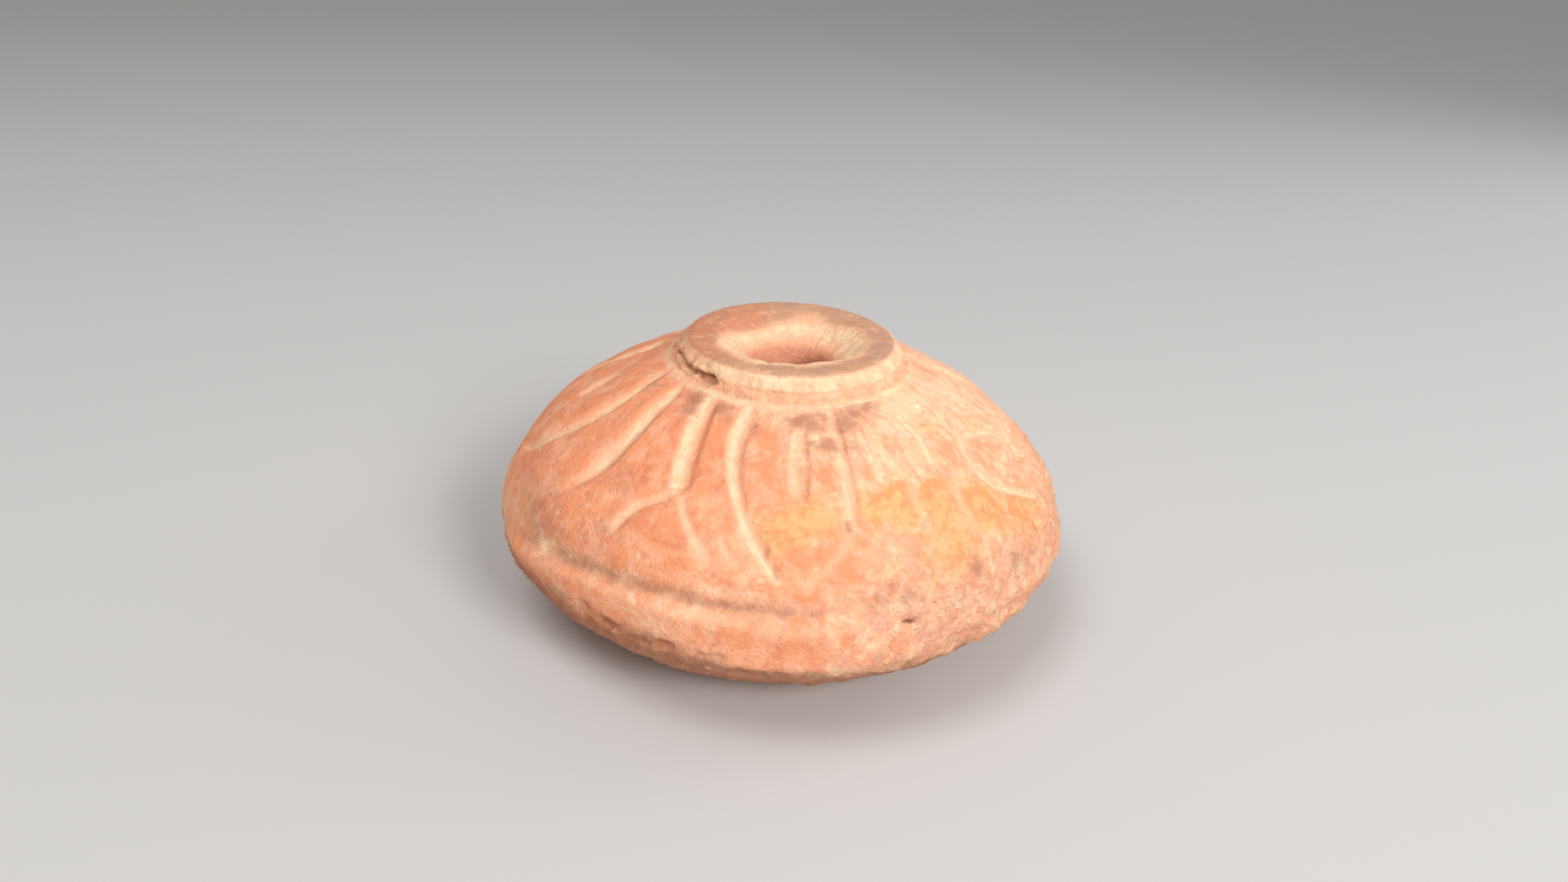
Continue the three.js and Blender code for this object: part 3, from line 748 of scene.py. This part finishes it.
# %% [markdown]
# Storing the masks
# The masks go onto the mesh as numbers from 0 to 1, one for each vertex, and the place across the
# nearest cut as a number from -3 to 3. Rain and wear draw streaks down the slope, and noise for
# them needs a place that changes slowly on the way down: the slope attribute is the clay as if
# wrapped round a cylinder, with the way down shortened.

# %% Storing the masks
# several of these masks are painted shade: the rim groove and the collar's foot, the crevice and pits, the
# steep walls, two smudges, the throat and the underside; the cream mask also holds painted highlights
masks = {"cream_and_highlight": cream_and_highlight, "slip": slip, "ochre": spots(OCHRE_SPOTS), "soot": soot, "rough": rough,
         "groove_shade": np.maximum(rim_groove_shade, ring_shade_line * 0.4), "hollow_shade": np.maximum(crevice, pits),
         "shade": np.maximum(crevice_shade, pits), "wall": wall, "smudge_and_shade": smudge_and_shade, "throat": throat,
         "pale": spots(PALE_SPOTS), "specks": spots(SPECKS), "throat_shade": throat_shade, "under": under,
         "mouth": (radius < 6.5) * ramp(height, top - 3, top - 1.5) * (1 - disc_band),
         "arch": np.maximum.reduce([arch(*place) for place in ARCHES])}
for name, values in masks.items():
    store(whorl, name, np.clip(values, 0, 1))
    print("mask", name, "covers", round(float(values.mean()) * 100, 1), "per cent")
store(whorl, "wall_at", np.clip(wall_at, -3, 3))

CYLINDER_RADIUS = 15.0
WAY_DOWN_SHORTENED = 0.58
way_down = radius * -0.6 + height
slope_place = round_point(angle, CYLINDER_RADIUS, WAY_DOWN_SHORTENED * way_down) * MM
stored = whorl.data.attributes.new("slope", "FLOAT_VECTOR", "POINT")
stored.data.foreach_set("vector", slope_place.astype(np.float32).ravel())

# %% [markdown]
# Building a material in layers
# A material of many layers stays readable if it is written as a painter works: a ground, then one
# coat over another, each with its own mask. These helpers make the nodes. Patterns are measured
# in millimetres on the object's own coordinates, so they stay put when the camera or the object
# moves.

# %% Material helpers
clay = bpy.data.materials.new("weathered fired clay")
clay.use_nodes = True
tree = clay.node_tree
shader = tree.nodes["Principled BSDF"]
coordinates = tree.nodes.new("ShaderNodeTexCoord").outputs["Object"]


def put(kind, inputs, **settings):
    made = tree.nodes.new("ShaderNode" + kind)
    for key, value in settings.items():
        setattr(made, key, value)
    for key, value in inputs.items():
        if isinstance(value, bpy.types.NodeSocket):
            tree.links.new(value, made.inputs[key])
        else:
            made.inputs[key].default_value = value
    return made


def mottle(size, detail=3.0, rough=0.55, warp=0.0, place=coordinates):
    """A noise whose patches are about this many millimetres across."""
    inputs = {"Vector": place, "Scale": 1 / (size * MM), "Detail": detail, "Roughness": rough,
              "Distortion": warp}
    return put("TexNoise", inputs).outputs["Fac"]


def stretched(x, y, z):
    return put("Mapping", {"Vector": coordinates, "Scale": (x, y, z)}).outputs["Vector"]


def flecks(size, low, high, place=coordinates):
    """Round flecks scattered in cells of this size, in millimetres."""
    cells = put("TexVoronoi", {"Vector": place, "Scale": 1 / (size * MM)})
    return between(cells.outputs["Distance"], high, low)


def between(value, low, high):
    inputs = {"Value": value, "From Min": low, "From Max": high}
    return put("MapRange", inputs, interpolation_type="SMOOTHSTEP").outputs["Result"]


def math_of(operation, first, second):
    return put("Math", {0: first, 1: second}, operation=operation).outputs[0]


def times(first, second):
    return math_of("MULTIPLY", first, second)


def plus(first, second):
    return math_of("ADD", first, second)


def painted(name):
    return put("Attribute", {}, attribute_name=name).outputs["Fac"]


def ragged_edge(mask, pattern, spread, low, high):
    """A mask whose edge is broken up by a pattern."""
    shift = times(math_of("SUBTRACT", pattern, 0.5), spread)
    return between(plus(mask, shift), low, high)


def lay(under, over, share):
    return put("Mix", {0: share, 6: under, 7: over}, data_type="RGBA").outputs[2]


def colour(red, green, blue):
    """A colour picked from a screen, 0 to 255, as the light it stands for."""
    def light(value):
        value /= 255
        return value / 12.92 if value <= 0.04045 else ((value + 0.055) / 1.055) ** 2.4
    return (light(red), light(green), light(blue), 1)


print("helpers for", clay.name)

# %% [markdown]
# The palette
# These are the colours that the clay shows on a screen, set beside the photograph. They
# are turned into the light that they stand for.

# %% Palette
SALMON = colour(248, 170, 131)
PEACH = colour(250, 190, 151)
PALE_CLAY = colour(252, 212, 174)
ROSE = colour(232, 168, 140)
BUFF = colour(254, 206, 154)
PINK = colour(250, 186, 160)
OCHRE = colour(250, 184, 123)
DEEP_OCHRE = colour(244, 161, 104)
SLIP = colour(249, 156, 112)
DEEP_SLIP = colour(226, 132, 97)
THIN_SLIP = colour(252, 182, 144)
STREAK = colour(255, 216, 174)
LIME = colour(255, 236, 196)
# painted shade colour for pits too small to model
PIT_SHADE = colour(206, 150, 126)
CREAM = colour(254, 220, 178)
PINK_CREAM = colour(250, 196, 158)
SOOT = colour(206, 154, 124)
GREY_SOOT = colour(184, 147, 126)
# painted shade colour for the grooves and the steep walls
GROOVE_SHADE = colour(162, 114, 90)
# painted shade colour under the rim
UNDERSIDE_SHADE = colour(170, 112, 84)
# smudge colours, also used for painted shade beside a wall
SMUDGE_AND_SHADE = colour(190, 132, 104)
GREY_SMUDGE_AND_SHADE = colour(188, 137, 116)
BROWN_SOOT = colour(206, 136, 103)
THROAT = colour(238, 168, 136)
THROAT_SHADE = colour(176, 116, 88)
# painted shade colours for the crevice and the pits
HOLLOW_SHADE = colour(212, 154, 120)
DEEP_HOLLOW_SHADE = colour(116, 80, 62)
print("salmon as light", [round(light, 3) for light in SALMON[:3]])

# %% [markdown]
# The ground
# Fired clay is never one colour. Five noises serve as patterns: broad patches, small patches,
# flecks, streaks down the slope and a fine grain, and a sixth is for pits. The ground is salmon
# and peach, with pale, buff and pink patches over it, and rose where the surface is rough.

# %% Ground
broad = mottle(2.8, 4, 0.6, 0.6)
patch = mottle(1.1, 4, 0.62, 0.5)
fleck = mottle(0.5, 3, 0.6)
slope = put("Attribute", {}, attribute_name="slope").outputs["Vector"]
streaky = mottle(0.75, 3, 0.6, 0.3, slope)
fine = mottle(0.2, 3, 0.6)
pitted = mottle(0.42, 4, 0.65, 0.3)
half_tone = plus(times(patch, 0.6), times(fleck, 0.4))
ground = lay(PEACH, SALMON, between(mottle(1.3, 3, 0.6, 0.5, slope), 0.44, 0.58))
paleness = plus(times(painted("pale"), 0.24), times(broad, 0.6))
paleness = plus(paleness, times(streaky, 0.4))
ground = lay(ground, PALE_CLAY, times(between(paleness, 0.5, 0.74), 0.95))
ground = lay(ground, BUFF, times(between(mottle(0.8, 2, 0.6, 0.3, slope), 0.52, 0.64), 0.6))
ground = lay(ground, PINK, times(between(mottle(1.1, 3, 0.6, 0.5), 0.52, 0.64), 0.65))
worn_rose = times(painted("rough"), between(mottle(0.9, 4, 0.62, 0.3, slope), 0.44, 0.62))
ground = lay(ground, ROSE, times(worn_rose, 0.6))
print("the ground takes", len(tree.nodes), "nodes")

# %% [markdown]
# Ochre and slip
# Ochre shows where the slip is thin, and red slip is left between the strokes, thin and deep by
# turns. The painted masks say where, and a noise breaks up their edges. Small blotches of slip
# remain on the bare clay, bows of deeper ochre cross the patch, and pale streaks run down
# wherever the clay is bare.

# %% Ochre and slip
ochre_coat = lay(OCHRE, DEEP_OCHRE, between(half_tone, 0.47, 0.58))
ochre_share = ragged_edge(painted("ochre"), half_tone, 1.6, 0.1, 0.85)
ground = lay(ground, ochre_coat, times(ochre_share, 0.9))
slip_coat = lay(SLIP, THIN_SLIP, times(between(mottle(1.7, 4, 0.6, 0.5), 0.46, 0.6), 0.8))
deep_patches = between(mottle(0.9, 4, 0.65, 0.3, slope), 0.5, 0.68)
slip_coat = lay(slip_coat, DEEP_SLIP, times(deep_patches, 0.8))
slip_share = ragged_edge(painted("slip"), mottle(1.3, 4, 0.62, 0.6), 1.5, 0.15, 0.85)
ground = lay(ground, slip_coat, times(slip_share, 0.88))
remains = between(mottle(1.0, 4, 0.65, 0.5), 0.52, 0.62)
remains = times(remains, between(mottle(3.2, 3, 0.6, 0.3), 0.4, 0.6))
ground = lay(ground, SLIP, times(remains, 0.5))
bow_share = ragged_edge(painted("arch"), half_tone, 1.0, 0.15, 0.8)
ground = lay(ground, DEEP_OCHRE, times(bow_share, 0.9))
bare = between(math_of("MAXIMUM", painted("slip"), painted("ochre")), 0.9, 0.2)
ground = lay(ground, STREAK, times(between(streaky, 0.54, 0.68), times(bare, 0.65)))
print("with ochre and slip it takes", len(tree.nodes), "nodes")

# %% [markdown]
# Soot and earth
# The throat of the bore is brown, with painted shade that darkens it below and on its right. Soot
# lies on the collar's top in streaks, browner over the slip and worn through in thin places. Cream
# earth lies over it all, in the carving, on the collar and in the mouth, brighter where it carries
# the painted highlights. In the carving it is combed into lines that follow the cut, which needs
# noise that changes across the cut alone. In the mouth it is blushed and wrinkled.

# %% Soot and earth
down = mottle(0.9, 4, 0.62, 1.2, stretched(1, 1, 0.5))
# painted shade darkens the throat
darkness = plus(painted("throat_shade"), times(down, 1.1))
inner_wall = lay(THROAT, THROAT_SHADE, between(darkness, 0.5, 1.3))
ground = lay(ground, inner_wall, ragged_edge(painted("throat"), half_tone, 1.6, 0.2, 1.1))
streaks = mottle(0.7, 3, 0.6, 0.8, stretched(0.25, 1, 1))
soot_coat = lay(SOOT, GREY_SOOT, between(streaks, 0.4, 0.72))
soot_coat = lay(soot_coat, BROWN_SOOT, times(painted("slip"), between(half_tone, 0.4, 0.5)))
thin_places = between(mottle(0.9, 4, 0.65, 0.6, stretched(0.35, 1, 1)), 0.56, 0.7)
soot_coat = lay(soot_coat, PINK_CREAM, times(thin_places, 0.6))
soot_share = ragged_edge(painted("soot"), mottle(1.8, 4, 0.65, 0.6, stretched(0.6, 1, 1)), 2.0, 0.1, 1.0)
sooty = times(soot_share, 0.88)
over_cut = put("CombineXYZ", {"X": times(painted("wall_at"), MM)}).outputs["Vector"]
over_cut = put("VectorMath", {0: stretched(0.2, 0.2, 0.2), 1: over_cut}, operation="ADD").outputs["Vector"]
striations = mottle(0.3, 2, 0.5, 0, over_cut)
earth_tone = plus(times(half_tone, 1.1), times(striations, 0.5))
earth_tone = plus(times(painted("cream_and_highlight"), 0.45), earth_tone)
# the cream is brighter where it carries the painted highlights
earth_and_highlight = lay(PINK_CREAM, CREAM, between(earth_tone, 1.06, 1.32))
ground = lay(ground, soot_coat, sooty)
ground = lay(ground, earth_and_highlight, ragged_edge(painted("cream_and_highlight"), half_tone, 0.8, 0.02, 0.85))
blush = times(between(mottle(1.0, 4, 0.62, 0.5), 0.5, 0.63), 0.32)
ground = lay(ground, THROAT, times(painted("mouth"), blush))
wrinkles = times(painted("mouth"), between(mottle(1.6, 4, 0.65, 0.5, slope), 0.54, 0.7))
ground = lay(ground, BROWN_SOOT, times(wrinkles, 0.6))
print("with soot and earth it takes", len(tree.nodes), "nodes")

# %% [markdown]
# Smudges, painted shade and hollows
# Smudges lie over the slip, two of them painted shade beside a wall. Painted shade lies in the rim
# groove and round the collar's foot, and the painted shade of the underside creeps up past the
# lower edge. A thin line of painted shade runs along each steep wall: it is drawn from the place
# across the cut, and wavers. The crevice and the pits are painted brown as shade in the hollows,
# and darker where they are most in shade. Flecks of temper and specks of lime lie on top.

# %% Smudges, painted shade and hollows
# smudges, two of them painted shade
smudge_and_shade_coat = lay(SMUDGE_AND_SHADE, GREY_SMUDGE_AND_SHADE, between(broad, 0.46, 0.62))
smudge_and_shade_share = ragged_edge(painted("smudge_and_shade"), mottle(0.75, 4, 0.65, 0.5), 1.7, 0.18, 1.15)
ground = lay(ground, smudge_and_shade_coat, times(smudge_and_shade_share, 0.85))
# painted shade in the rim groove and at the collar's foot
groove_shade_share = ragged_edge(painted("groove_shade"), half_tone, 2.0, 0.05, 1.45)
ground = lay(ground, GROOVE_SHADE, times(groove_shade_share, 0.85))
# painted shade under the rim
underside_shade_share = ragged_edge(painted("under"), half_tone, 1.7, 0.1, 0.95)
ground = lay(ground, UNDERSIDE_SHADE, times(underside_shade_share, 0.75))
# painted shade: a thin darker line along each steep wall, which faces away from the light
wavering = plus(painted("wall_at"), times(math_of("SUBTRACT", patch, 0.5), 0.35))
wall_shade_line = times(between(wavering, 0.55, 0.88), between(wavering, 1.3, 0.9))
wall_shade_line = times(wall_shade_line, times(painted("wall"), between(patch, 0.34, 0.54)))
ground = lay(ground, GROOVE_SHADE, times(wall_shade_line, 0.35))
# painted shade in the crevice and the pits, darkest under the lip
ground = lay(ground, HOLLOW_SHADE, between(painted("hollow_shade"), 0.25, 0.8))
ground = lay(ground, DEEP_HOLLOW_SHADE, times(between(painted("shade"), 0.4, 0.9), 0.85))
ground = lay(ground, CREAM, times(flecks(2.2, 0.05, 0.13), 0.4))
ground = lay(ground, LIME, times(between(painted("specks"), 0.15, 0.9), 0.85))
print("with dirt and hollows it takes", len(tree.nodes), "nodes")

# %% [markdown]
# Grain
# Painted shade in pits too small to model and a fine unevenness of tone finish the colour. The
# bump carries only the grain that is too fine for the mesh. Fired clay is matt, though not evenly
# so.

# %% Grain
# painted shade in fine pits, strongest where the surface is rough
pit_shade_strength = plus(times(painted("rough"), 0.6), 0.04)
pit_shade_share = times(between(pitted, 0.48, 0.3), pit_shade_strength)
ground = lay(ground, PIT_SHADE, pit_shade_share)
grainy = plus(times(fine, 0.5), times(pitted, 0.5))
tone_range = {"Value": grainy, "From Min": 0.3, "From Max": 0.7, "To Min": 0.92, "To Max": 1.07}
tone = put("MapRange", tone_range)
tone = put("HueSaturation", {"Color": ground, "Value": tone.outputs["Result"]}).outputs["Color"]
tree.links.new(tone, shader.inputs["Base Color"])

grain = times(pitted, plus(times(painted("rough"), 1.3), 0.3))
grain = plus(grain, times(fine, 0.5))
BUMP_DEPTH = 0.24
bump = put("Bump", {"Height": grain, "Distance": BUMP_DEPTH * MM, "Strength": 0.9})
tree.links.new(bump.outputs["Normal"], shader.inputs["Normal"])
roughness = put("MapRange", {"Value": mottle(0.8, 3), "To Min": 0.8, "To Max": 0.98}).outputs["Result"]
tree.links.new(roughness, shader.inputs["Roughness"])
shader.inputs["Specular IOR Level"].default_value = 0.25
whorl.data.materials.append(clay)
print("clay material of", len(tree.nodes), "nodes")

# %% [markdown]
# The floor and the light
# The stage is a pale round floor, a large soft lamp high on the right front, a weaker one high on
# the left front, a faint one on the right behind, and a pale world that fills the shadows.

# %% Stage
FLOOR_RADIUS = 6000
FLOOR_COLOUR = (0.62, 0.61, 0.6, 1)
WORLD_COLOUR = (1.0, 0.98, 0.96, 1)
WORLD_STRENGTH = 0.39
AIM = (0, 0, 12)
start_alone()
bpy.ops.mesh.primitive_circle_add(vertices=96, radius=FLOOR_RADIUS * MM, fill_type="NGON")
floor = bpy.context.object
floor.name = "pale_floor"
floor_paint = bpy.data.materials.new("pale floor")
floor_paint.use_nodes = True
floor_shader = floor_paint.node_tree.nodes["Principled BSDF"]
floor_shader.inputs["Base Color"].default_value = FLOOR_COLOUR
floor_shader.inputs["Roughness"].default_value = 0.9
floor.data.materials.append(floor_paint)

scene = bpy.context.scene
scene.view_settings.view_transform = "Standard"
world = bpy.data.worlds.new("soft studio")
world.use_nodes = True
background = world.node_tree.nodes["Background"]
background.inputs["Color"].default_value = WORLD_COLOUR
background.inputs["Strength"].default_value = WORLD_STRENGTH
scene.world = world


def soft_lamp(name, place, size, watts):
    """A square lamp at a place in millimetres, turned towards the middle of the whorl."""
    bpy.ops.object.light_add(type="AREA", location=Vector(place) * MM)
    lamp = bpy.context.object
    lamp.name = name
    lamp.data.size = size * MM
    lamp.data.energy = watts
    aim = Vector(AIM) * MM - lamp.location
    lamp.rotation_euler = aim.to_track_quat("-Z", "Y").to_euler()


soft_lamp("key lamp", (190, -260, 215), 130, 0.95)
soft_lamp("fill lamp", (-110, -90, 330), 160, 0.4)
soft_lamp("side lamp", (300, 110, 150), 150, 0.18)
print("floor, world and three lamps are set")

# %% [markdown]
# The camera
# The camera stands where the photograph was taken from. Its place, pitch and roll were found by
# fitting the outline of the turned form.

# %% Camera
CAMERA_PLACE = (-0.11, -75.44, 49.37)
CAMERA_PITCH = 26.27
CAMERA_ROLL = 3.08
FOCAL_LENGTH = 24.44
SENSOR_WIDTH = 36
camera_data = bpy.data.cameras.new("camera")
camera_data.lens = FOCAL_LENGTH
camera_data.sensor_width = SENSOR_WIDTH
camera_data.clip_start = 1 * MM
camera = bpy.data.objects.new("camera", camera_data)
scene.collection.objects.link(camera)
tilt = Matrix.Rotation(math.radians(90 - CAMERA_PITCH), 4, "X")
roll = Matrix.Rotation(math.radians(CAMERA_ROLL), 4, "Z")
camera.matrix_world = Matrix.Translation(Vector(CAMERA_PLACE) * MM) @ tilt @ roll
scene.camera = camera
print("camera at", CAMERA_PLACE)
